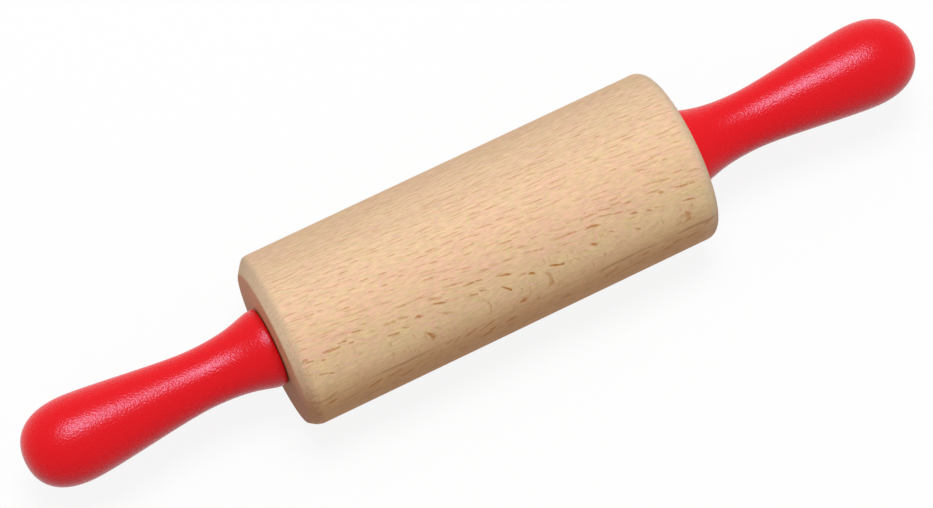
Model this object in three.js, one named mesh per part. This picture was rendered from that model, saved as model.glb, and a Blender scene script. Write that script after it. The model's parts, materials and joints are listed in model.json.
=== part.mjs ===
// A small rolling pin with a turning barrel, in millimetres.
// A turned beech barrel runs on a steel axle, in a nylon bush at each end.
// A red lacquered handle is pressed and glued on each end of the axle.
// The pin lies along X with its barrel resting on z = 0, and the origin is under the barrel's middle.

import * as THREE from 'three';
import { mergeVertices } from 'three/addons/utils/BufferGeometryUtils.js';

// Barrel
const barrelDiameter = 40;
const barrelLength = 100;
const chamferLength = 2.1; // along the barrel
const chamferDrop = 2.8; // towards the axis
const shoulderBlend = 1.2; // how far the sanded shoulder reaches to each side of the chamfer's edge

// Axle
const axleDiameter = 6;
const axleSeatLength = 32; // the length held in each handle
const axleEndChamfer = 0.6;

// Bushes
const sleeveWall = 1.25;
const sleeveLength = 12;
const flangeOverhang = 1.5; // beyond the sleeve
const flangeThickness = 1;
const flangeProud = 0.1; // how far the flange stands out of its recess in the barrel's face
const sleeveLeadIn = 0.4; // bevel on the end that is pushed in first

// Handles, with distances measured from the foot's face
const handleLength = 58;
const footDiameter = 17.9;
const footRimRadius = 0.6;
const waistDiameter = 13.4;
const waistDistance = 16.4;
const knobDiameter = 19.25;
const knobDistance = 46.2;
const socketAir = 1; // free depth past the axle's end
const socketTip = 1.8; // the cone that the drill leaves

// Fits
const runningClearance = 0.25; // between the axle and a bush, on the radius
const seatGap = 0.1; // a pressed or glued joint, drawn open
const endPlay = 0.25; // between a handle's foot and a bush's flange

// How the handle's outline runs, as shares of the stretch or the radius that each follows
const flareLeaveShare = 0.22; // how long the flare stays level at the foot
const flareArriveShare = 0.68; // and at the waist
const taperLeaveShare = 0.23; // how long the taper stays level at the waist
const taperArriveShare = 0.2; // and at the knob
const knobFullnessShare = 0.64; // 0.55 is an ellipse, and more is blunter

// Counts
const sides = 48;
const blendSteps = 3;
const rimSteps = 3;
const flareSteps = 9;
const taperSteps = 9;
const knobSteps = 9;

// Sizes that follow from the ones above
const barrelRadius = barrelDiameter / 2;
const axleRadius = axleDiameter / 2;
const sleeveBoreRadius = axleRadius + runningClearance;
const sleeveRadius = sleeveBoreRadius + sleeveWall;
const barrelBoreRadius = sleeveRadius + seatGap;
const flangeRadius = sleeveRadius + flangeOverhang;
const recessRadius = flangeRadius + seatGap;
const recessDepth = flangeThickness - flangeProud + seatGap;
const socketRadius = axleRadius + seatGap;
const footX = barrelLength / 2 + flangeProud + endPlay;
const axleLength = 2 * (footX + axleSeatLength);

// A flat of every round surface faces straight down, so that the barrel rests on one.
const halfSide = Math.PI / sides;

// A drilled bore and the barrel have their flats at the stated radius, so nothing reaches inside it.
function overFlats(radius) {
  return radius / Math.cos(halfSide);
}

function point(radius, along) {
  return new THREE.Vector2(radius, along);
}

// Turns an outline of (radius, distance along the axis) about the X axis.
// The outline has the material on its left, and it closes on itself or starts and ends on the axis.
function turned(name, outline, material) {
  const lathe = new THREE.LatheGeometry(outline, sides, halfSide);
  lathe.deleteAttribute('normal');
  lathe.deleteAttribute('uv');
  const geometry = mergeVertices(lathe);
  geometry.rotateZ(-Math.PI / 2);
  geometry.computeVertexNormals();
  const mesh = new THREE.Mesh(geometry, material);
  mesh.name = name;
  return mesh;
}

// The end of the barrel from its face to its side, as distances in from the end.
function chamferPoints() {
  const rimRadius = overFlats(barrelRadius - chamferDrop);
  const faceEdge = point(rimRadius, 0);
  const shoulder = point(overFlats(barrelRadius), chamferLength);
  const width = faceEdge.distanceTo(shoulder);
  const blend = Math.min(shoulderBlend, width / 2);
  const blendStart = shoulder.clone().lerp(faceEdge, blend / width);
  const blendEnd = point(shoulder.x, shoulder.y + blend);
  const curve = new THREE.QuadraticBezierCurve(blendStart, shoulder, blendEnd);
  return [faceEdge, ...curve.getPoints(blendSteps)];
}

function makeBarrel(material) {
  const half = barrelLength / 2;
  const floor = half - recessDepth;
  const bore = overFlats(barrelBoreRadius);
  const recess = overFlats(recessRadius);
  const left = chamferPoints().map((p) => point(p.x, p.y - half));
  const right = chamferPoints().map((p) => point(p.x, half - p.y)).reverse();
  const start = point(bore, -floor);
  const outline = [
    start,
    point(recess, -floor),
    point(recess, -half),
    ...left,
    ...right,
    point(recess, half),
    point(recess, floor),
    point(bore, floor),
    start.clone(),
  ];
  return turned('barrel', outline, material);
}

function makeAxle(material) {
  const half = axleLength / 2;
  const tip = axleRadius - axleEndChamfer;
  const outline = [
    point(0, -half),
    point(tip, -half),
    point(axleRadius, axleEndChamfer - half),
    point(axleRadius, half - axleEndChamfer),
    point(tip, half),
    point(0, half),
  ];
  return turned('axle', outline, material);
}

// A bush with its flange's outer face at zero and its sleeve running back from it.
function makeBush(name, material) {
  const sleeveEnd = -flangeThickness - sleeveLength;
  const bore = overFlats(sleeveBoreRadius);
  const outline = [
    point(bore, sleeveEnd),
    point(sleeveRadius - sleeveLeadIn, sleeveEnd),
    point(sleeveRadius, sleeveEnd + sleeveLeadIn),
    point(sleeveRadius, -flangeThickness),
    point(flangeRadius, -flangeThickness),
    point(flangeRadius, 0),
    point(bore, 0),
    point(bore, sleeveEnd),
  ];
  return turned(name, outline, material);
}

// The outside of a handle, from its foot's face at zero to the end of its knob.
function handleOutline() {
  const footRadius = footDiameter / 2;
  const waistRadius = waistDiameter / 2;
  const knobRadius = knobDiameter / 2;

  // A quarter circle eases the edge of the foot's face.
  const rim = new THREE.EllipseCurve(
    footRadius - footRimRadius, footRimRadius, footRimRadius, footRimRadius, -Math.PI / 2, 0,
  ).getPoints(rimSteps);

  // The flare leaves the foot level and sweeps in to the waist.
  const flareRun = waistDistance - footRimRadius;
  const waist = point(waistRadius, waistDistance);
  const flare = new THREE.CubicBezierCurve(
    rim[rim.length - 1],
    point(footRadius, footRimRadius + flareRun * flareLeaveShare),
    point(waistRadius, waistDistance - flareRun * flareArriveShare),
    waist,
  ).getPoints(flareSteps);

  const taperRun = knobDistance - waistDistance;
  const knob = point(knobRadius, knobDistance);
  const taper = new THREE.CubicBezierCurve(
    waist,
    point(waistRadius, waistDistance + taperRun * taperLeaveShare),
    point(knobRadius, knobDistance - taperRun * taperArriveShare),
    knob,
  ).getPoints(taperSteps);

  const knobRun = handleLength - knobDistance;
  const end = new THREE.CubicBezierCurve(
    knob,
    point(knobRadius, knobDistance + knobRun * knobFullnessShare),
    point(knobRadius * knobFullnessShare, handleLength),
    point(0, handleLength),
  ).getPoints(knobSteps);

  return [...rim, ...flare.slice(1), ...taper.slice(1), ...end.slice(1)];
}

// A handle with its foot's face at x = 0 and its knob towards +X.
function makeHandle(name, material) {
  const bore = overFlats(socketRadius);
  const socketDepth = axleSeatLength + socketAir;
  const outline = [
    point(0, socketDepth + socketTip),
    point(bore, socketDepth),
    point(bore, 0),
    ...handleOutline(),
  ];
  return turned(name, outline, material);
}

const beech = new THREE.MeshStandardMaterial({ color: '#dfbc98', roughness: 0.6, metalness: 0 });
const redLacquer = new THREE.MeshStandardMaterial({ color: '#e2202a', roughness: 0.3, metalness: 0 });
const steel = new THREE.MeshStandardMaterial({ color: '#b8bbbf', roughness: 0.35, metalness: 1 });
const nylon = new THREE.MeshStandardMaterial({ color: '#e4e0d4', roughness: 0.5, metalness: 0 });

const pin = new THREE.Group();
pin.position.z = barrelRadius;
pin.add(makeBarrel(beech));
pin.add(makeAxle(steel));

const ends = [
  { side: 'left', turn: Math.PI },
  { side: 'right', turn: 0 },
];
for (const { side, turn } of ends) {
  const end = new THREE.Group();
  end.rotation.z = turn;
  const bush = makeBush(`bush_${side}`, nylon);
  bush.position.x = barrelLength / 2 + flangeProud;
  const handle = makeHandle(`handle_${side}`, redLacquer);
  handle.position.x = footX;
  end.add(bush, handle);
  pin.add(end);
}

export default pin;
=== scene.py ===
import json
import math
import bpy
from mathutils import Matrix, Vector


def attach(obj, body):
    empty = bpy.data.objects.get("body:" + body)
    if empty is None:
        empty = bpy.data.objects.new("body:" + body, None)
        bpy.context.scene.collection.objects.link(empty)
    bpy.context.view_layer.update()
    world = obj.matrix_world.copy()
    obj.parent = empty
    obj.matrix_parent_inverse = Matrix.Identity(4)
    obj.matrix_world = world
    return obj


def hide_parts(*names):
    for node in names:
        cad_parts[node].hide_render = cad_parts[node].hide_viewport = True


# A small rolling pin: a turned beech barrel that runs on a steel axle between two red lacquered handles.
# It lies along X with its barrel resting on z = 0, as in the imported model. Lengths are in metres.

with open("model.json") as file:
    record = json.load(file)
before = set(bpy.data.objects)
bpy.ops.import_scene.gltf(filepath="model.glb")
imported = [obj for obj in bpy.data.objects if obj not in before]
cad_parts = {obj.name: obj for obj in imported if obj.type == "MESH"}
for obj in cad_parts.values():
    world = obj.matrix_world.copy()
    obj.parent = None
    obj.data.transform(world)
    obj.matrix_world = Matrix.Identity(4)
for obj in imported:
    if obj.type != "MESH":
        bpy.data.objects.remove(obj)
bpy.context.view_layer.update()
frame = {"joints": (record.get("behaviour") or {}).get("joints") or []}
mm = 0.001
axisHeight = frame["joints"][0]["pos_m"][2]  # the barrel turns about a line at this height
mergeDistance = 0.001 * mm  # closes the seams of a turned shape


def linear(hexColour):
    # An sRGB hex colour as the linear colour that a node takes.
    shares = [int(hexColour[i:i + 2], 16) / 255 for i in (1, 3, 5)]
    return [s / 12.92 if s <= 0.04045 else ((s + 0.055) / 1.055) ** 2.4 for s in shares] + [1]


def feed(tree, socket, value):
    # Fills an input with a value, a socket, or a node, whose first output is then meant.
    if isinstance(value, bpy.types.Node):
        value = next(s for s in value.outputs if s.enabled)
    if isinstance(value, bpy.types.NodeSocket):
        tree.links.new(value, socket)
    else:
        socket.default_value = value


def addNode(tree, kind, inputs=(), **settings):
    # Adds a node with its settings. Its inputs go by name, or in the order in which the node shows them.
    node = tree.nodes.new(kind)
    for name, value in settings.items():
        setattr(node, name, value)
    shown = [socket for socket in node.inputs if socket.enabled]
    if isinstance(inputs, dict):
        pairs = [(next(s for s in shown if s.name == name), value) for name, value in inputs.items()]
    else:
        pairs = zip(shown, inputs)
    for socket, value in pairs:
        feed(tree, socket, value)
    return node


# Camera: a long lens, seen from the front left and from well above, as in the photograph
view = {
    "azimuth": -27.07,
    "elevation": 68.04,
    "lens": 136.34,
    "sensorWidth": 36,
    "distance": 771.4 * mm,
    "right": -2.40 * mm,
    "up": -1.33 * mm,
}


def makeCamera():
    data = bpy.data.cameras.new("Camera")
    data.lens = view["lens"]
    data.sensor_width = view["sensorWidth"]
    camera = bpy.data.objects.new("Camera", data)
    bpy.context.scene.collection.objects.link(camera)
    camera.rotation_euler = (math.radians(90 - view["elevation"]), 0, math.radians(view["azimuth"]))
    turn = camera.rotation_euler.to_matrix()
    offset = Vector((view["right"], view["up"], view["distance"]))
    camera.location = Vector((0, 0, axisHeight)) + turn @ offset
    bpy.context.scene.camera = camera


makeCamera()
print("camera made")


# Turning: an outline of (x, radius) swept about the pin's axis

def startTree(name, sizes):
    # A tree with one named input for each of a piece's sizes.
    tree = bpy.data.node_groups.new(name, "GeometryNodeTree")
    for label, value in sizes.items():
        kind = "NodeSocketInt" if isinstance(value, int) else "NodeSocketFloat"
        tree.interface.new_socket(label, in_out="INPUT", socket_type=kind)
    tree.interface.new_socket("Mesh", in_out="OUTPUT", socket_type="NodeSocketGeometry")
    return tree, addNode(tree, "NodeGroupInput").outputs


def makeTurning():
    # Each point of the outline becomes a ring. The outline has the open air on its left.
    tree, given = startTree("Turn an outline", {"sides": 96, "axisHeight": axisHeight})
    tree.interface.new_socket("outline", in_out="INPUT", socket_type="NodeSocketGeometry")
    wire = addNode(tree, "GeometryNodeCurveToMesh", {"Curve": given["outline"]})
    rings = addNode(tree, "GeometryNodeAttributeDomainSize", {"Geometry": wire}).outputs["Point Count"]
    ringPoints = addNode(tree, "ShaderNodeMath", (given["sides"], 1), operation="ADD")
    grid = addNode(tree, "GeometryNodeMeshGrid", {"Vertices X": rings, "Vertices Y": ringPoints})
    index = addNode(tree, "GeometryNodeInputIndex")
    share = addNode(tree, "ShaderNodeMath", (index, ringPoints), operation="DIVIDE")
    ring = addNode(tree, "ShaderNodeMath", (share,), operation="FLOOR")
    step = addNode(tree, "ShaderNodeMath", (index, ringPoints), operation="MODULO")
    turns = addNode(tree, "ShaderNodeMath", (step, given["sides"]), operation="DIVIDE")
    angle = addNode(tree, "ShaderNodeMath", (turns, math.tau), operation="MULTIPLY")
    position = addNode(tree, "GeometryNodeInputPosition")
    corner = addNode(tree, "GeometryNodeSampleIndex", {"Geometry": wire, "Value": position, "Index": ring},
                     data_type="FLOAT_VECTOR")
    parts = addNode(tree, "ShaderNodeSeparateXYZ", (corner,)).outputs
    sine = addNode(tree, "ShaderNodeMath", (angle,), operation="SINE")
    cosine = addNode(tree, "ShaderNodeMath", (angle,), operation="COSINE")
    across = addNode(tree, "ShaderNodeMath", (parts["Y"], sine), operation="MULTIPLY")
    up = addNode(tree, "ShaderNodeMath", (parts["Y"], cosine, given["axisHeight"]),
                 operation="MULTIPLY_ADD")
    place = addNode(tree, "ShaderNodeCombineXYZ", (parts["X"], across, up))
    swept = addNode(tree, "GeometryNodeSetPosition", {"Geometry": grid, "Position": place})
    # The seam and the poles close here.
    closed = addNode(tree, "GeometryNodeMergeByDistance", {"Geometry": swept, "Distance": mergeDistance})
    addNode(tree, "NodeGroupOutput", {"Mesh": closed})
    return tree


turning = makeTurning()


def turnOutline(tree, given, corners):
    # Turns an outline through (x, radius, rounding) corners. The first and last ones stay sharp.
    line = addNode(tree, "GeometryNodeCurvePrimitiveLine")
    points = addNode(tree, "GeometryNodeResampleCurve", {"Curve": line, "Count": len(corners)},
                     mode="COUNT")
    index = addNode(tree, "GeometryNodeInputIndex")
    place = addNode(tree, "GeometryNodeIndexSwitch", {"Index": index}, data_type="VECTOR")
    rounding = addNode(tree, "GeometryNodeIndexSwitch", {"Index": index}, data_type="FLOAT")
    for number, (x, radius, blend) in enumerate(corners):
        if number > 1:
            place.index_switch_items.new()
            rounding.index_switch_items.new()
        point = addNode(tree, "ShaderNodeCombineXYZ", (x, radius))
        feed(tree, place.inputs[number + 1], point)
        feed(tree, rounding.inputs[number + 1], blend)
    placed = addNode(tree, "GeometryNodeSetPosition", {"Geometry": points, "Position": place})
    outline = addNode(tree, "GeometryNodeFilletCurve",
                      {"Curve": placed, "Count": given["roundingSteps"], "Radius": rounding,
                       "Limit Radius": True}, mode="POLY")
    return addNode(tree, "GeometryNodeGroup",
                   {"outline": outline, "sides": given["sides"], "axisHeight": given["axisHeight"]},
                   node_tree=turning)


def endTree(tree, mesh, material):
    # Smooth shading, broken at edges sharper than the angle.
    sharpAbove = math.radians(30)
    smooth = addNode(tree, "GeometryNodeSetShadeSmooth", {"Geometry": mesh, "Shade Smooth": True})
    angle = addNode(tree, "GeometryNodeInputMeshEdgeAngle")
    soft = addNode(tree, "ShaderNodeMath", (angle, sharpAbove), operation="LESS_THAN")
    edged = addNode(tree, "GeometryNodeSetShadeSmooth", {"Geometry": smooth, "Shade Smooth": soft},
                    domain="EDGE")
    real = addNode(tree, "GeometryNodeRealizeInstances", {"Geometry": edged})
    finished = addNode(tree, "GeometryNodeSetMaterial", {"Geometry": real, "Material": material})
    addNode(tree, "NodeGroupOutput", {"Mesh": finished})


def makePiece(name, node, tree, sizes, body):
    # Runs a tree on an empty mesh and keeps what it makes as a plain mesh, in place of a node of the model.
    piece = bpy.data.objects.new(name, bpy.data.meshes.new(name))
    bpy.context.scene.collection.objects.link(piece)
    modifier = piece.modifiers.new("Turned", "NODES")
    modifier.node_group = tree
    for item in tree.interface.items_tree:
        if item.in_out == "INPUT":
            modifier[item.identifier] = sizes[item.name]
    evaluated = piece.evaluated_get(bpy.context.evaluated_depsgraph_get())
    mesh = bpy.data.meshes.new_from_object(evaluated)
    piece.modifiers.clear()
    piece.data = mesh
    mesh.name = name
    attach(piece, body)
    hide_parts(node)
    print(name, "made with", len(mesh.polygons), "faces")


def startMaterial(name):
    material = bpy.data.materials.new(name)
    material.use_nodes = True
    material.node_tree.nodes.clear()
    print("material", name)
    return material, material.node_tree


# Barrel: its left chamfer is sanded by hand, and its right end is sanded round
barrelSizes = {
    "radius": 20 * mm,
    "halfLength": 50 * mm,
    "chamferLength": 2.3 * mm,  # along the barrel, at its left end
    "chamferDrop": 2.35 * mm,  # towards the axis
    "chamferUneven": 0.85 * mm,  # the left face's rim lies this far off the axis, low on the front
    "shoulderRounding": 2.4 * mm,  # from the side to the chamfer
    "faceEdgeRounding": 1.2 * mm,  # and from the chamfer to the face
    "rightEndRounding": 2.7 * mm,
    "boreEdgeRounding": 0.15 * mm,
    "recessRadius": 6.1 * mm,  # for the flange of a bush
    "recessDepth": 1.0 * mm,
    "boreRadius": 4.6 * mm,
    "axisHeight": axisHeight,
    "sides": 192,
    "roundingSteps": 8,
}

# Beech, turned and sanded, with no varnish: warm and pale, matt, with short brown flecks where its rays
# end. The tree's radial direction comes out of the barrel's top, towards the back, so the rays are cut
# across there, as fine dashes, and lengthwise low on the front, as dark hooks.
# Lengths here are in mm, and a size in three goes along the barrel, round the tree and in to its middle.
beechLook = {
    "wood": "#eaca99",
    "rosy": "#f0c0a4",
    "fleck": "#c07b3c",
    "ringLine": "#99603a",
    "innerWoodAndShade": "#d69f6f",  # inside the one strong ring, low on the front: partly browner wood, partly painted shade
    "endGrain": "#dda47e",
    # painted shade: the tone that the low front of the left bevel and the face darken to
    "paintedShadeEndGrain": "#b67e5e",
    "bevelGreyAndSheen": "#dcc3a4",  # on the bevels, and as painted grey sheen on the barrel's top, where the rays are cut across
    "roughness": 0.62,
    "specularLevel": 0.12,
    "radialTurn": 30,  # degrees from straight up to the tree's radial direction, towards the back
    "pithDistance": 110,  # from the barrel's axis to the middle of the tree
    "strongRing": 108,  # from the middle of the tree
    "ringSlope": 0.0115,  # how far the ring sinks over the barrel's length, for each mm
    "ringSpacing": 3.1,
    "lateWood": 9,  # how narrow a year's dark line is, more being narrower
    "faintRings": 0.07,  # the share of the dark line's colour in the other rings
    "raySpread": 0.0014,  # how the rays fan out along the barrel, for each mm
    "straightPlane": -30,  # off the axis, where the rays run straight along the barrel
    "waveLength": 4,  # of the grain
    "waveHeight": 0.7,
    # Two kinds of fleck: how far apart they are, half the size of one, a shift that keeps the kinds apart,
    # and how strong they are. The narrow ones are wider than real ones, so that they show.
    "narrowFlecks": ((2.4, 0.55, 7), (1.0, 0.06, 4), (41, 13, 5), 0.4),
    "broadFlecks": ((3.7, 1.05, 12), (1.8, 0.14, 7), (3, 7, 1), 1.0),
    "fleckScatter": 0.85,  # 0 is an even grid
    "fleckLengths": (0.5, 1.8),  # from the shortest to the longest, in shares of that size
    "fleckWidths": (0.6, 1.3),
    "fleckStrengths": (0.4, 1.0),
    "fleckEdge": (1.0, 0.25),  # where a fleck begins and where it has its full colour
    "farFace": 0.4,  # one face of a ray is dark, and the other fades to this
    "hookLength": 0.7,  # of a fleck where the rays are cut lengthwise, against the others
    "hookWidth": 0.5,
    # Mottles: the size of a speck, then from where to where the noise counts and what it becomes.
    "specks": ((0.7, 0.5, 0.5), (0.33, 0.67, 0, 1)),  # yellowish and rosy
    "patches": ((5, 2, 2), (0.35, 0.65, 0, 1)),  # the same two tones, over several millimetres
    "streaks": ((0.2, 1.2, 0.9), (0.52, 0.75, 0, 0.4)),  # across the grain, where a ray lies in the surface
    "streakGroups": ((2.2, 2, 1.6), (0.47, 0.62, 0, 1)),
    "ringPatches": ((5, 1, 1), (0.4, 0.65, 0.1, 0.5)),  # how strong the strong ring is
    "frayed": ((0.45, 0.2, 0.5), (0.3, 0.7, -0.35, 0.35)),  # the edges of the flecks
    "speckShare": 0.65,  # of the rosy tone, the rest being in the patches
    "lessRosy": 0.25,  # where the rays are cut lengthwise
    "fibreSize": (1.0, 0.25, 0.25),  # over ten times as wide as real fibres, so that they show
    "fibreDetail": 3,
    "fibreShade": (0.3, 0.7, 0.91, 1.09),  # as with a mottle, and it becomes the brightness
    "fibreHeight": 0.02,
    "fibreBump": 0.5,
    # From one distance to another, and what the share or the factor is at each.
    "lengthwise": (18.4, 19.6, 0, 1),  # aside of the tree's radius, and how far the cut is lengthwise
    "fleckShade": (17.2, 19.8, 0.8, 1.45),  # aside, and the strength of the flecks
    "paintedGreySheen": (15, 3, 0, 0.4),  # aside, and how much painted grey sheen the barrel's top gets
    "browningAndShade": (5.5, -3.2, 0, 0.85),  # outside the strong ring, and how brown the wood is, partly real and partly painted shade
    "browningEnd": (44, 49, 1, 0.3),  # along the barrel, and how much of the brown stays
    "ringWidth": (0.55, 0.08, 0, 1),  # from the strong ring, and its strength
    "ringEnds": (10, 26, 0.3, 1),  # from the barrel's middle, and the ring's strength
    "bevelEdge": (3.9, 2.3, 0, 0.6),  # in from the face, and how much of the bevel's tone there is
    "bevelMottle": 1.5,  # how far the specks move that edge
    "lowBevelShade": (8, -6, 0, 1),  # outside the strong ring, and how much painted shade the low front of the bevel gets
    "lowBevelSlope": 0.12,  # which makes that painted shade weaker on the right bevel, for each mm
    "faceEdge": (0.23, 0.02, 0, 1),  # in from the face, and how much of the end grain's tone there is
    "fleckEnd": (0, 0.6, 1, 0.3),  # across the bevel, as a share of it, and the strength of the flecks
}


def makeBeech():
    look = beechLook
    material, tree = startMaterial("Turned beech")

    # From here on a position is (along the barrel, round the tree, in towards its middle) in millimetres.
    turn = math.radians(look["radialTurn"])
    toTree = Matrix(((1, 0, 0), (0, -math.cos(turn), math.sin(turn)),
                     (0, -math.sin(turn), -math.cos(turn))))
    centred = toTree @ Vector((0, 0, -axisHeight / mm))
    place = addNode(tree, "ShaderNodeTexCoord").outputs["Object"]
    inTree = addNode(tree, "ShaderNodeMapping",
                     {"Vector": place, "Location": centred, "Rotation": toTree.to_euler(),
                      "Scale": [1 / mm] * 3})
    waves = addNode(tree, "ShaderNodeVectorMath", (inTree, [2 * look["waveLength"]] * 3),
                    operation="DIVIDE")
    wave = addNode(tree, "ShaderNodeTexNoise", {"Vector": waves, "Scale": 1, "Detail": 1}).outputs["Color"]
    shift = addNode(tree, "ShaderNodeVectorMath", (wave, (0.5, 0.5, 0.5)), operation="SUBTRACT")
    height = look["waveHeight"]
    wavy = addNode(tree, "ShaderNodeVectorMath", (shift, (0, height, height), inTree),
                   operation="MULTIPLY_ADD")
    along, across, inward = addNode(tree, "ShaderNodeSeparateXYZ", (wavy,)).outputs
    fromPlane = addNode(tree, "ShaderNodeMath", (across, look["straightPlane"]), operation="SUBTRACT")
    narrowing = addNode(tree, "ShaderNodeMath", (along, -look["raySpread"]), operation="MULTIPLY")
    spread = addNode(tree, "ShaderNodeMath", (narrowing,), operation="EXPONENT")
    around = addNode(tree, "ShaderNodeMath", (fromPlane, spread), operation="MULTIPLY")
    rays = addNode(tree, "ShaderNodeCombineXYZ", (along, around, inward))

    # Mottles. The cells of a noise are twice as wide as its specks.
    mottle = {}
    for name, where in (("specks", inTree), ("streakGroups", inTree), ("patches", rays), ("streaks", rays),
                        ("ringPatches", rays), ("frayed", rays)):
        size, becomes = look[name]
        cells = addNode(tree, "ShaderNodeVectorMath", (where, [2 * width for width in size]),
                        operation="DIVIDE")
        noise = addNode(tree, "ShaderNodeTexNoise", {"Vector": cells, "Scale": 1, "Detail": 1})
        mottle[name] = addNode(tree, "ShaderNodeMapRange", (noise, *becomes))
    cells = addNode(tree, "ShaderNodeVectorMath", (rays, [2 * width for width in look["fibreSize"]]),
                    operation="DIVIDE")
    fibres = addNode(tree, "ShaderNodeTexNoise",
                     {"Vector": cells, "Scale": 1, "Detail": look["fibreDetail"]})
    fibreShade = addNode(tree, "ShaderNodeMapRange", (fibres, *look["fibreShade"]))

    # Where the surface is cut along the rays, low on the front and opposite, it's less rosy.
    aside = addNode(tree, "ShaderNodeMath", (across,), operation="ABSOLUTE")
    lengthwise = addNode(tree, "ShaderNodeMapRange", (aside, *look["lengthwise"]))
    # Painted grey sheen on the barrel's top, where the rays are cut across, stands in for light from
    # behind.
    paintedGreySheen = addNode(tree, "ShaderNodeMapRange", (aside, *look["paintedGreySheen"]))
    rosyPatches = addNode(tree, "ShaderNodeMath", (mottle["patches"], 1 - look["speckShare"]),
                          operation="MULTIPLY")
    mottled = addNode(tree, "ShaderNodeMath", (mottle["specks"], look["speckShare"], rosyPatches),
                      operation="MULTIPLY_ADD")
    rosy = addNode(tree, "ShaderNodeMath", (lengthwise, -look["lessRosy"], mottled),
                   operation="MULTIPLY_ADD")

    # Yearly rings, one of them strong, with browner wood inside it, low on the front, which is partly
    # painted shade
    radial = addNode(tree, "ShaderNodeMath", (look["pithDistance"], inward), operation="SUBTRACT")
    flat = addNode(tree, "ShaderNodeCombineXYZ", (across, radial))
    fromPith = addNode(tree, "ShaderNodeVectorMath", (flat,), operation="LENGTH").outputs["Value"]
    ringRadius = addNode(tree, "ShaderNodeMath", (along, look["ringSlope"], fromPith),
                         operation="MULTIPLY_ADD")
    beyond = addNode(tree, "ShaderNodeMath", (ringRadius, look["strongRing"]), operation="SUBTRACT")
    browningAndShade = addNode(tree, "ShaderNodeMapRange", (beyond, *look["browningAndShade"]))
    browningEnd = addNode(tree, "ShaderNodeMapRange", (along, *look["browningEnd"]))
    inner = addNode(tree, "ShaderNodeMath", (browningAndShade, browningEnd), operation="MULTIPLY")
    years = addNode(tree, "ShaderNodeMath", (beyond, look["ringSpacing"]), operation="DIVIDE")
    year = addNode(tree, "ShaderNodeMath", (years,), operation="FLOOR")
    season = addNode(tree, "ShaderNodeMath", (years,), operation="FRACT")
    late = addNode(tree, "ShaderNodeMath", (season, look["lateWood"]), operation="POWER")
    yearShare = addNode(tree, "ShaderNodeTexWhiteNoise", {"W": year},
                        noise_dimensions="1D").outputs["Value"]
    fromRing = addNode(tree, "ShaderNodeMath", (beyond,), operation="ABSOLUTE")
    fromMiddle = addNode(tree, "ShaderNodeMath", (along,), operation="ABSOLUTE")
    onRing = addNode(tree, "ShaderNodeMapRange", (fromRing, *look["ringWidth"]))
    ringEnds = addNode(tree, "ShaderNodeMapRange", (fromMiddle, *look["ringEnds"]))

    # The grain is cut at a slant on the bevels, which are greyer from a mottled edge on,
    # and straight across on the faces, which are darker. Low on the front both get painted shade.
    halfLength = barrelSizes["halfLength"] / mm
    chamfer = barrelSizes["chamferLength"] / mm
    fromFace = addNode(tree, "ShaderNodeMath", (halfLength, fromMiddle), operation="SUBTRACT")
    fromEdge = addNode(tree, "ShaderNodeMath", (mottle["specks"], look["bevelMottle"], fromFace),
                       operation="MULTIPLY_ADD")
    onBevel = addNode(tree, "ShaderNodeMapRange", (fromEdge, *look["bevelEdge"]))
    onFace = addNode(tree, "ShaderNodeMapRange", (fromFace, *look["faceEdge"]))
    lower = addNode(tree, "ShaderNodeMath", (along, look["lowBevelSlope"], beyond),
                    operation="MULTIPLY_ADD")
    lowBevelShade = addNode(tree, "ShaderNodeMapRange", (lower, *look["lowBevelShade"]))
    # Painted shade: low on the front, the bevel and the face darken towards this colour.
    paintedShadeEnd = linear(look["paintedShadeEndGrain"])
    bevel = addNode(tree, "ShaderNodeMix", (lowBevelShade, linear(look["bevelGreyAndSheen"]), paintedShadeEnd), data_type="RGBA")
    face = addNode(tree, "ShaderNodeMix", (inner, linear(look["endGrain"]), paintedShadeEnd), data_type="RGBA")

    # Flecks, which are thin, dark and hooked where the surface is cut along the rays
    shorter = addNode(tree, "ShaderNodeMapRange", (lengthwise, 0, 1, 1, look["hookLength"]))
    thinner = addNode(tree, "ShaderNodeMapRange", (lengthwise, 0, 1, 1, look["hookWidth"]))
    darker = addNode(tree, "ShaderNodeMapRange", (aside, *look["fleckShade"]))
    nearEnd = addNode(tree, "ShaderNodeMapRange", (fromFace, chamfer, 0))
    offEnd = addNode(tree, "ShaderNodeMapRange", (nearEnd, *look["fleckEnd"]))
    flecks = []
    for spacing, halfSize, seed, strength in (look["narrowFlecks"], look["broadFlecks"]):
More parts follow.
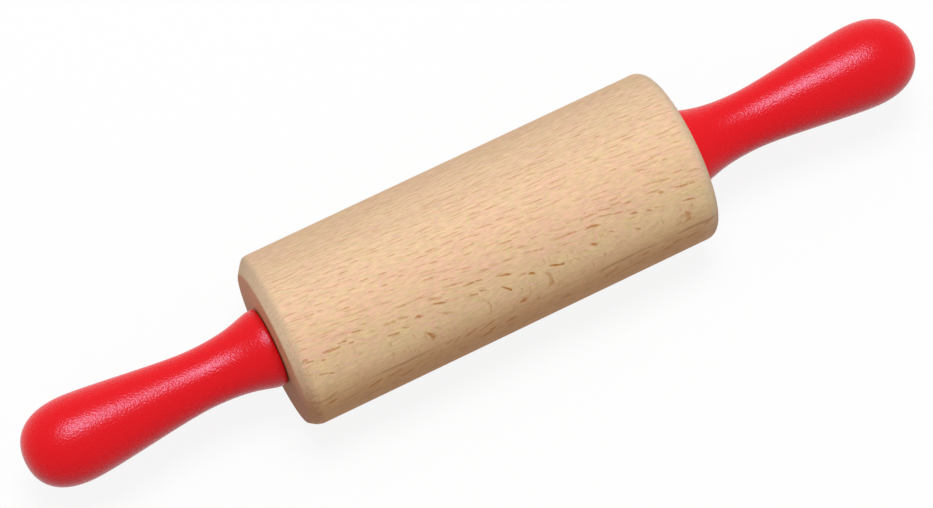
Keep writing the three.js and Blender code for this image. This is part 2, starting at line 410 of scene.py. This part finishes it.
        # Rays are thin plates that run out from the tree's middle, one in each cell of the given spacing.
        moved = addNode(tree, "ShaderNodeVectorMath", (rays, seed), operation="ADD")
        cells = addNode(tree, "ShaderNodeVectorMath", (moved, spacing), operation="DIVIDE")
        cell = addNode(tree, "ShaderNodeTexVoronoi",
                       {"Vector": cells, "Scale": 1, "Randomness": look["fleckScatter"]},
                       feature="F1").outputs
        off = addNode(tree, "ShaderNodeVectorMath", (cells, cell["Position"]), operation="SUBTRACT")
        away = addNode(tree, "ShaderNodeVectorMath", (off, spacing), operation="MULTIPLY")
        chance = addNode(tree, "ShaderNodeSeparateXYZ", (cell["Color"],)).outputs
        lengths = [halfSize[0] * share for share in look["fleckLengths"]]
        widths = [halfSize[1] * share for share in look["fleckWidths"]]
        length = addNode(tree, "ShaderNodeMapRange", (chance["X"], 0, 1, *lengths))
        width = addNode(tree, "ShaderNodeMapRange", (chance["Y"], 0, 1, *widths))
        cutLength = addNode(tree, "ShaderNodeMath", (shorter, length), operation="MULTIPLY")
        cutWidth = addNode(tree, "ShaderNodeMath", (thinner, width), operation="MULTIPLY")
        size = addNode(tree, "ShaderNodeCombineXYZ", (cutLength, cutWidth, halfSize[2]))
        scaled = addNode(tree, "ShaderNodeVectorMath", (away, size), operation="DIVIDE")
        x, y, z = addNode(tree, "ShaderNodeSeparateXYZ", (scaled,)).outputs
        # The reach is 1 at a fleck's edge. The fourth power keeps a plate even up to its ends.
        squared = addNode(tree, "ShaderNodeMath", (x, x), operation="MULTIPLY")
        reach = addNode(tree, "ShaderNodeMath", (y, y, squared), operation="MULTIPLY_ADD")
        height = addNode(tree, "ShaderNodeMath", (z,), operation="ABSOLUTE")
        steep = addNode(tree, "ShaderNodeMath", (height, 4), operation="POWER")
        for more in (steep, mottle["frayed"]):
            reach = addNode(tree, "ShaderNodeMath", (reach, more), operation="ADD")
        inside = addNode(tree, "ShaderNodeMapRange", (reach, *look["fleckEdge"]))
        oneSided = addNode(tree, "ShaderNodeMapRange", (y, -1, 1, 1, look["farFace"]))
        varied = addNode(tree, "ShaderNodeMapRange", (chance["Z"], 0, 1, *look["fleckStrengths"]))
        flecks.append(((inside, oneSided, varied, darker, offEnd, strength), linear(look["fleck"])))

    # Each layer has its share, as the product of some factors, and its colour.
    layers = [
        ((rosy,), linear(look["rosy"])),
        # painted grey sheen on the top of the barrel
        ((paintedGreySheen,), linear(look["bevelGreyAndSheen"])),
        ((mottle["streaks"], mottle["streakGroups"], lengthwise), linear(look["fleck"])),
        # browner inner wood, partly painted shade on the barrel's low front
        ((inner,), linear(look["innerWoodAndShade"])),
        ((late, yearShare, look["faintRings"]), linear(look["ringLine"])),
        ((onRing, mottle["ringPatches"], ringEnds), linear(look["ringLine"])),
        *flecks,
        ((onBevel,), bevel),
        ((onFace,), face),
    ]
    colour = linear(look["wood"])
    for (share, *factors), tone in layers:
        for factor in factors:
            share = addNode(tree, "ShaderNodeMath", (share, factor), operation="MULTIPLY")
        colour = addNode(tree, "ShaderNodeMix", (share, colour, tone), data_type="RGBA")

    lit = addNode(tree, "ShaderNodeVectorMath", (colour, fibreShade), operation="SCALE")
    bump = addNode(tree, "ShaderNodeBump",
                   {"Strength": look["fibreBump"], "Distance": look["fibreHeight"] * mm, "Height": fibres})
    shader = addNode(tree, "ShaderNodeBsdfPrincipled",
                     {"Base Color": lit, "Roughness": look["roughness"],
                      "Specular IOR Level": look["specularLevel"], "Normal": bump})
    addNode(tree, "ShaderNodeOutputMaterial", {"Surface": shader})
    return material


def makeBarrel():
    tree, given = startTree("Barrel", barrelSizes)
    shoulder = addNode(tree, "ShaderNodeMath", (given["halfLength"], given["chamferLength"]),
                       operation="SUBTRACT")
    rim = addNode(tree, "ShaderNodeMath", (given["radius"], given["chamferDrop"]), operation="SUBTRACT")
    recessFloor = addNode(tree, "ShaderNodeMath", (given["halfLength"], given["recessDepth"]),
                          operation="SUBTRACT")
    leftEdge = [(shoulder, given["radius"], given["shoulderRounding"]),
                (given["halfLength"], rim, given["faceEdgeRounding"])]
    rightEdge = [(given["halfLength"], given["radius"], given["rightEndRounding"])]
    both = addNode(tree, "GeometryNodeJoinGeometry")
    for edge, heading in ((rightEdge, 0), (leftEdge, math.pi)):
        half = turnOutline(tree, given, [
            (0, given["radius"], 0),
            *edge,
            (given["halfLength"], given["recessRadius"], given["boreEdgeRounding"]),
            (recessFloor, given["recessRadius"], given["boreEdgeRounding"]),
            (recessFloor, given["boreRadius"], given["boreEdgeRounding"]),
            (0, given["boreRadius"], 0),
        ])
        turned = addNode(tree, "GeometryNodeTransform", {"Geometry": half, "Rotation": (0, 0, heading)})
        feed(tree, both.inputs[0], turned)
    # The left face's rim is shifted low on the front, so the chamfer is widest high at the back.
    lowFront = (0, -0.93, -0.37)
    place = addNode(tree, "GeometryNodeInputPosition")
    x, y, z = addNode(tree, "ShaderNodeSeparateXYZ", (place,)).outputs
    height = addNode(tree, "ShaderNodeMath", (z, given["axisHeight"]), operation="SUBTRACT")
    spoke = addNode(tree, "ShaderNodeCombineXYZ", (y, height))
    offAxis = addNode(tree, "ShaderNodeVectorMath", (spoke,), operation="LENGTH").outputs["Value"]
    leftward = addNode(tree, "ShaderNodeMath", (x, -1), operation="MULTIPLY")
    endward = addNode(tree, "ShaderNodeMapRange", (leftward, shoulder, given["halfLength"]))
    outward = addNode(tree, "ShaderNodeMapRange", (offAxis, given["recessRadius"], rim))
    share = addNode(tree, "ShaderNodeMath", (endward, outward), operation="MULTIPLY")
    distance = addNode(tree, "ShaderNodeMath", (share, given["chamferUneven"]), operation="MULTIPLY")
    shift = addNode(tree, "ShaderNodeVectorMath", (lowFront, distance), operation="SCALE")
    shifted = addNode(tree, "GeometryNodeSetPosition", {"Geometry": both, "Offset": shift})
    whole = addNode(tree, "GeometryNodeMergeByDistance", {"Geometry": shifted, "Distance": mergeDistance})
    endTree(tree, whole, makeBeech())
    makePiece("beechBarrel", "barrel", tree, barrelSizes, "roller")


makeBarrel()


# Axle
axleSizes = {
    "radius": 3 * mm,
    "halfLength": 82.35 * mm,
    "endChamfer": 0.6 * mm,
    "edgeRounding": 0.2 * mm,
    "axisHeight": axisHeight,
    "sides": 96,
    "roundingSteps": 4,
}

# Bright drawn steel: grey metal with fine lines along the rod, coarser than real ones, so that they show
steelLook = {
    "steel": "#c4c6c9",
    "roughness": (0.22, 0.42),
    "lineLength": 25,  # mm
    "lineWidth": 0.15,  # mm
    "lineDepth": 0.003,  # mm
    "lineBump": 0.4,
}


def makeSteel():
    look = steelLook
    material, tree = startMaterial("Bright drawn steel")
    place = addNode(tree, "ShaderNodeTexCoord").outputs["Object"]
    stretch = [0.5 / (look[size] * mm) for size in ("lineLength", "lineWidth", "lineWidth")]
    stretched = addNode(tree, "ShaderNodeMapping", {"Vector": place, "Scale": stretch})
    lines = addNode(tree, "ShaderNodeTexNoise", {"Vector": stretched, "Scale": 1, "Detail": 2})
    rough = addNode(tree, "ShaderNodeMapRange", (lines, 0, 1, *look["roughness"]))
    bump = addNode(tree, "ShaderNodeBump",
                   {"Strength": look["lineBump"], "Distance": look["lineDepth"] * mm, "Height": lines})
    shader = addNode(tree, "ShaderNodeBsdfPrincipled",
                     {"Base Color": linear(look["steel"]), "Metallic": 1, "Roughness": rough,
                      "Normal": bump})
    addNode(tree, "ShaderNodeOutputMaterial", {"Surface": shader})
    return material


def makeAxle():
    tree, given = startTree("Axle", axleSizes)
    tip = addNode(tree, "ShaderNodeMath", (given["radius"], given["endChamfer"]), operation="SUBTRACT")
    side = addNode(tree, "ShaderNodeMath", (given["halfLength"], given["endChamfer"]), operation="SUBTRACT")
    half = turnOutline(tree, given, [
        (0, given["radius"], 0),
        (side, given["radius"], given["edgeRounding"]),
        (given["halfLength"], tip, given["edgeRounding"]),
        (given["halfLength"], 0, 0),
    ])
    other = addNode(tree, "GeometryNodeTransform", {"Geometry": half, "Rotation": (0, 0, math.pi)})
    both = addNode(tree, "GeometryNodeJoinGeometry", (half,))
    feed(tree, both.inputs[0], other)
    whole = addNode(tree, "GeometryNodeMergeByDistance", {"Geometry": both, "Distance": mergeDistance})
    endTree(tree, whole, makeSteel())
    makePiece("steelAxle", "axle", tree, axleSizes, "spindle")


makeAxle()


# Bushes
bushSizes = {
    "boreRadius": 3.25 * mm,
    "sleeveRadius": 4.5 * mm,
    "flangeRadius": 6 * mm,
    "sleeveEnd": 37.1 * mm,  # from the barrel's middle
    "flangeBack": 49.1 * mm,
    "flangeFront": 50.1 * mm,
    "leadIn": 0.4 * mm,
    "seamDepth": 6 * mm,  # the outline starts and ends in the bore, this far behind the flange
    "edgeRounding": 0.15 * mm,
    "neckRounding": 0.1 * mm,
    "axisHeight": axisHeight,
    "heading": 0.0,  # half a turn puts it at the left end
    "sides": 96,
    "roundingSteps": 4,
}

# Natural nylon, moulded: milky off-white and slightly waxy
nylonLook = {
    "nylon": "#e0dccf",
    "roughness": 0.45,
    "grainSize": 0.2,  # mm
    "grainDepth": 0.004,  # mm
    "grainBump": 0.3,
}


def makeNylon():
    look = nylonLook
    material, tree = startMaterial("Moulded natural nylon")
    place = addNode(tree, "ShaderNodeTexCoord").outputs["Object"]
    scale = 1 / (look["grainSize"] * 2 * mm)
    grain = addNode(tree, "ShaderNodeTexNoise", {"Vector": place, "Scale": scale, "Detail": 2})
    bump = addNode(tree, "ShaderNodeBump",
                   {"Strength": look["grainBump"], "Distance": look["grainDepth"] * mm, "Height": grain})
    shader = addNode(tree, "ShaderNodeBsdfPrincipled",
                     {"Base Color": linear(look["nylon"]), "Roughness": look["roughness"], "Normal": bump})
    addNode(tree, "ShaderNodeOutputMaterial", {"Surface": shader})
    return material


def makeBushes():
    tree, given = startTree("Bush", bushSizes)
    leadRadius = addNode(tree, "ShaderNodeMath", (given["sleeveRadius"], given["leadIn"]),
                         operation="SUBTRACT")
    leadEnd = addNode(tree, "ShaderNodeMath", (given["sleeveEnd"], given["leadIn"]), operation="ADD")
    seam = addNode(tree, "ShaderNodeMath", (given["flangeBack"], given["seamDepth"]), operation="SUBTRACT")
    turned = turnOutline(tree, given, [
        (seam, given["boreRadius"], 0),
        (given["sleeveEnd"], given["boreRadius"], given["edgeRounding"]),
        (given["sleeveEnd"], leadRadius, given["edgeRounding"]),
        (leadEnd, given["sleeveRadius"], given["edgeRounding"]),
        (given["flangeBack"], given["sleeveRadius"], given["neckRounding"]),
        (given["flangeBack"], given["flangeRadius"], given["edgeRounding"]),
        (given["flangeFront"], given["flangeRadius"], given["edgeRounding"]),
        (given["flangeFront"], given["boreRadius"], given["edgeRounding"]),
        (seam, given["boreRadius"], 0),
    ])
    turn = addNode(tree, "ShaderNodeCombineXYZ", {"Z": given["heading"]})
    headed = addNode(tree, "GeometryNodeTransform", {"Geometry": turned, "Rotation": turn})
    endTree(tree, headed, makeNylon())
    for name, node, heading in (("leftBush", "bush_left", math.pi), ("rightBush", "bush_right", 0.0)):
        makePiece(name, node, tree, {**bushSizes, "heading": heading}, "roller")


makeBushes()


# Handles, with distances measured from the foot's face
handleSizes = {
    "footX": 50.2 * mm,  # the foot's face, from the barrel's middle, 0.15 mm nearer than in the model
    "length": 58.15 * mm,
    "footRadius": 8.95 * mm,
    "rimRadius": 0.6 * mm,
    "waistRadius": 6.7 * mm,
    "waistDistance": 16.55 * mm,
    "knobRadius": 9.625 * mm,
    "knobDistance": 46.35 * mm,
    "flareLeave": 0.22,  # shares of the flare's run
    "flareArrive": 0.68,
    "taperLeave": 0.23,  # and of the taper's
    "taperArrive": 0.2,
    "knobFullness": 0.64,  # 0.55 is an ellipse, and more is blunter
    "seatRadius": 3.1 * mm,
    "seatDepth": 33 * mm,
    "drillTip": 1.8 * mm,
    "axisHeight": axisHeight,
    "heading": 0.0,
    "sides": 144,
    "steps": 24,
}

# Red gloss lacquer, sprayed on turned beech: an even red under a skin with a fine orange peel
lacquerLook = {
    "red": "#eb161c",
    "roughness": 0.27,
    "specularLevel": 0.2,
    "specularTint": "#b8daff",
    "diffuseRoughness": 0.7,  # the pigment throws light back evenly, so the red hardly darkens to the sides
    "peelSize": 0.22,  # mm, from one bump to the next
    "peelHeight": 0.085,  # mm
}


def makeLacquer():
    look = lacquerLook
    material, tree = startMaterial("Sprayed red lacquer")
    place = addNode(tree, "ShaderNodeTexCoord").outputs["Object"]
    scale = 1 / (look["peelSize"] * 2 * mm)
    peel = addNode(tree, "ShaderNodeTexNoise", {"Vector": place, "Scale": scale, "Detail": 1})
    bump = addNode(tree, "ShaderNodeBump",
                   {"Strength": 1, "Distance": look["peelHeight"] * mm, "Height": peel})
    shader = addNode(tree, "ShaderNodeBsdfPrincipled",
                     {"Base Color": linear(look["red"]), "Roughness": look["roughness"],
                      "Diffuse Roughness": look["diffuseRoughness"],
                      "Specular IOR Level": look["specularLevel"],
                      "Specular Tint": linear(look["specularTint"]), "Normal": bump})
    addNode(tree, "ShaderNodeOutputMaterial", {"Surface": shader})
    return material


def makeHandles():
    tree, given = startTree("Handle", handleSizes)
    quarterCircle = 0.5523  # a Bezier handle of this share of the radius draws a quarter circle
    rimBase = addNode(tree, "ShaderNodeMath", (given["footRadius"], given["rimRadius"]),
                      operation="SUBTRACT")
    drillX = addNode(tree, "ShaderNodeMath", (given["seatDepth"], given["drillTip"]), operation="ADD")

    # The outline's points, and the corners that its curves bend towards
    spots = {
        "drillEnd": (drillX, 0),
        "seatEnd": (given["seatDepth"], given["seatRadius"]),
        "seatMouth": (0, given["seatRadius"]),
        "rimStart": (0, rimBase),
        "rimCorner": (0, given["footRadius"]),
        "flareStart": (given["rimRadius"], given["footRadius"]),
        "flareCorner": (given["waistDistance"], given["footRadius"]),
        "waistCorner": (given["rimRadius"], given["waistRadius"]),
        "waist": (given["waistDistance"], given["waistRadius"]),
        "taperCorner": (given["knobDistance"], given["waistRadius"]),
        "neckCorner": (given["waistDistance"], given["knobRadius"]),
        "knob": (given["knobDistance"], given["knobRadius"]),
        "knobCorner": (given["length"], given["knobRadius"]),
        "tip": (given["length"], 0),
    }
    spots = {name: addNode(tree, "ShaderNodeCombineXYZ", spot) for name, spot in spots.items()}

    # The rim is a quarter circle, and from it the flare sweeps in to the waist. Each row is a point with
    # the corner that its left and its right handle point to, and how far they go. Without one it's sharp.
    rows = [
        ("drillEnd", None, None),
        ("seatEnd", None, None),
        ("seatMouth", None, None),
        ("rimStart", None, ("rimCorner", quarterCircle)),
        ("flareStart", ("rimCorner", quarterCircle), ("flareCorner", given["flareLeave"])),
        ("waist", ("waistCorner", given["flareArrive"]), ("taperCorner", given["taperLeave"])),
        ("knob", ("neckCorner", given["taperArrive"]), ("knobCorner", given["knobFullness"])),
        ("tip", ("knobCorner", given["knobFullness"]), None),
    ]
    line = addNode(tree, "GeometryNodeCurvePrimitiveLine")
    points = addNode(tree, "GeometryNodeResampleCurve", {"Curve": line, "Count": len(rows)}, mode="COUNT")
    index = addNode(tree, "GeometryNodeInputIndex")
    place = addNode(tree, "GeometryNodeIndexSwitch", {"Index": index}, data_type="VECTOR")
    for number, row in enumerate(rows):
        if number > 1:
            place.index_switch_items.new()
        feed(tree, place.inputs[number + 1], spots[row[0]])
    placed = addNode(tree, "GeometryNodeSetPosition", {"Geometry": points, "Position": place})
    curve = addNode(tree, "GeometryNodeCurveSplineType", {"Curve": placed}, spline_type="BEZIER")
    for mode, column in (("LEFT", 1), ("RIGHT", 2)):
        curved = addNode(tree, "GeometryNodeIndexSwitch", {"Index": index}, data_type="BOOLEAN")
        target = addNode(tree, "GeometryNodeIndexSwitch", {"Index": index}, data_type="VECTOR")
        for number, row in enumerate(rows):
            if number > 1:
                curved.index_switch_items.new()
                target.index_switch_items.new()
            spot = spots[row[0]]
            if row[column]:
                corner, share = row[column]
                spot = addNode(tree, "ShaderNodeMix", (share, spot, spots[corner]), data_type="VECTOR")
            feed(tree, target.inputs[number + 1], spot)
            feed(tree, curved.inputs[number + 1], row[column] is not None)
        curve = addNode(tree, "GeometryNodeSetCurveHandlePositions",
                        {"Curve": curve, "Selection": curved, "Position": target}, mode=mode)
    fine = addNode(tree, "GeometryNodeSetSplineResolution",
                   {"Geometry": curve, "Resolution": given["steps"]})
    turned = addNode(tree, "GeometryNodeGroup",
                     {"outline": fine, "sides": given["sides"], "axisHeight": given["axisHeight"]},
                     node_tree=turning)
    offset = addNode(tree, "ShaderNodeCombineXYZ", {"X": given["footX"]})
    atFoot = addNode(tree, "GeometryNodeTransform", {"Geometry": turned, "Translation": offset})
    turn = addNode(tree, "ShaderNodeCombineXYZ", {"Z": given["heading"]})
    headed = addNode(tree, "GeometryNodeTransform", {"Geometry": atFoot, "Rotation": turn})
    endTree(tree, headed, makeLacquer())
    for name, node, heading in (("leftHandle", "handle_left", math.pi),
                                ("rightHandle", "handle_right", 0.0)):
        makePiece(name, node, tree, {**handleSizes, "heading": heading}, "spindle")


makeHandles()


# Studio: a white floor, a soft box overhead, an even fill, and a second box that only shows as a gloss
studio = {
    "floorSeen": "#fbfbfb",
    "floorBounce": "#b4b4b4",  # what the floor throws back at the pin, as a grey table would
    "backdrop": "#f7f7f7",  # behind the floor, as the floor looks far off
    "floorSize": 20.0,
    "shadowShare": 0.12,  # how much of the floor's own shading the camera sees, the rest being plain white
    "fill": 0.42,
    "boxSize": 0.4,
    "boxDistance": 1.1,  # of both boxes
    "boxDirection": (0.03, 0.1, 1.0),
    "boxPower": 7.2,
    "glossSize": 0.5,
    "glossDirection": (0.03, 0.18, 1.0),
    "glossPower": 12.0,
}


def findSeen(tree):
    # 1 for a ray that the camera sees, straight or in a gloss or glass, and 0 for one that only lights
    rays = addNode(tree, "ShaderNodeLightPath").outputs
    seen = rays["Is Camera Ray"]
    for kind in ("Is Glossy Ray", "Is Transmission Ray"):
        seen = addNode(tree, "ShaderNodeMath", (seen, rays[kind]), operation="MAXIMUM")
    return seen


def makeStudio():
    half = studio["floorSize"] / 2
    mesh = bpy.data.meshes.new("floor")
    corners = [(-half, -half, 0), (half, -half, 0), (half, half, 0), (-half, half, 0)]
    mesh.from_pydata(corners, [], [(0, 1, 2, 3)])
    floor = bpy.data.objects.new("floor", mesh)
    bpy.context.scene.collection.objects.link(floor)
    material, tree = startMaterial("White studio floor")
    white = addNode(tree, "ShaderNodeEmission", {"Strength": 1})
    seen = findSeen(tree)
    tones = [linear(studio[name]) for name in ("floorBounce", "floorSeen")]
    grey = addNode(tree, "ShaderNodeMix", (seen, *tones), data_type="RGBA")
    paint = addNode(tree, "ShaderNodeBsdfDiffuse", {"Color": grey})
    share = addNode(tree, "ShaderNodeMath", (seen, 1 - studio["shadowShare"]), operation="MULTIPLY")
    mixed = addNode(tree, "ShaderNodeMixShader", (share, paint, white))
    addNode(tree, "ShaderNodeOutputMaterial", {"Surface": mixed})
    mesh.materials.append(material)

    world = bpy.data.worlds.new("Studio")
    bpy.context.scene.world = world
    world.use_nodes = True
    tree = world.node_tree
    tree.nodes.clear()
    fill = addNode(tree, "ShaderNodeBackground", {"Color": (1, 1, 1, 1), "Strength": studio["fill"]})
    backdrop = addNode(tree, "ShaderNodeBackground", {"Color": linear(studio["backdrop"]), "Strength": 1})
    mixed = addNode(tree, "ShaderNodeMixShader", (findSeen(tree), fill, backdrop))
    addNode(tree, "ShaderNodeOutputWorld", {"Surface": mixed})

    for name in ("box", "gloss"):
        light = bpy.data.lights.new(name, "AREA")
        light.shape = "SQUARE"
        light.size = studio[name + "Size"]
        light.energy = studio[name + "Power"]
        lamp = bpy.data.objects.new(name, light)
        bpy.context.scene.collection.objects.link(lamp)
        direction = Vector(studio[name + "Direction"]).normalized()
        lamp.location = direction * studio["boxDistance"]
        lamp.rotation_euler = direction.to_track_quat("Z", "Y").to_euler()
        lamp.visible_diffuse = name == "box"


makeStudio()
bpy.context.scene.view_settings.view_transform = "Standard"
print("studio made")
